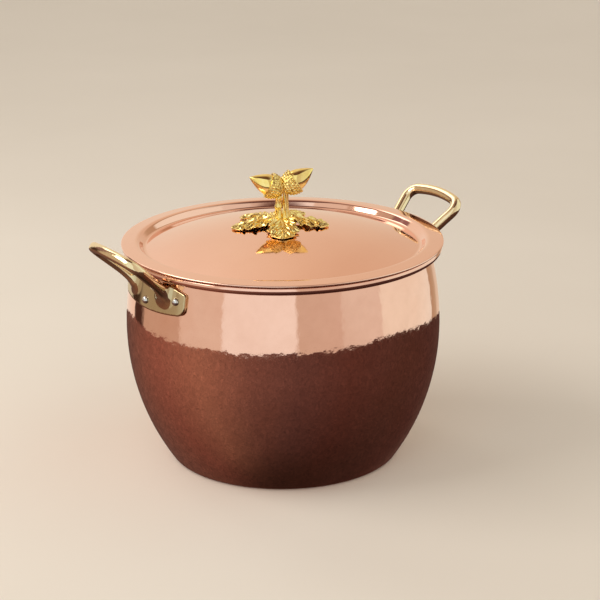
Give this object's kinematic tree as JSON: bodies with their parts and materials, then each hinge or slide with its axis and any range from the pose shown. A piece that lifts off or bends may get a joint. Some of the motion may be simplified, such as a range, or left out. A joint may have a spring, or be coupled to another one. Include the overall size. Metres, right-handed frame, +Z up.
{
  "type": "lidded soup pot",
  "caption": "Round-bellied hammered copper soup pot with a bonded steel lining, cast loop handles and a domed lift-off lid with an acorn and oak-leaf knob.",
  "frame": {"origin": "centre of the pot's flat bottom, on the surface it stands on", "axes": "+Z up through the lid's knob, X through the middles of the two handles, Y across them"},
  "size_m": [0.3336, 0.266, 0.2427],
  "materials": {
    "copper_hammered": "polished copper with fine hammer marks",
    "copper_polished": "mirror-polished copper",
    "steel_lining": "fine satin steel",
    "brass_handle": "polished cast brass",
    "steel_rivet": "polished steel",
    "gilt_brass": "bright gilt casting with chased detail",
    "gilt_nut": "bright gilt, polished smooth"
  },
  "bodies": {
    "pot": {"pot_shell": "copper_hammered", "pot_lining": "steel_lining", "left_handle": "brass_handle", "right_handle": "brass_handle", "left_rivet_front": "steel_rivet", "left_rivet_middle": "steel_rivet", "left_rivet_rear": "steel_rivet", "right_rivet_front": "steel_rivet", "right_rivet_middle": "steel_rivet", "right_rivet_rear": "steel_rivet"},
    "lid": {"lid_shell": "copper_polished", "lid_lining": "steel_lining", "knob_boss": "gilt_brass", "leaf_front": "gilt_brass", "leaf_right": "gilt_brass", "leaf_back_right": "gilt_brass", "leaf_back_left": "gilt_brass", "leaf_left": "gilt_brass", "left_stem": "gilt_brass", "right_stem": "gilt_brass", "left_acorn_cup": "gilt_brass", "right_acorn_cup": "gilt_brass", "left_acorn_nut": "gilt_nut", "right_acorn_nut": "gilt_nut", "knob_screw": "steel_rivet", "knob_washer": "steel_rivet"}
  },
  "joints": [
    {"name": "lid_lift", "type": "slide", "parent": "pot", "child": "lid", "axis": [0, 0, 1], "range_m": [0, 0.15]}
  ]
}
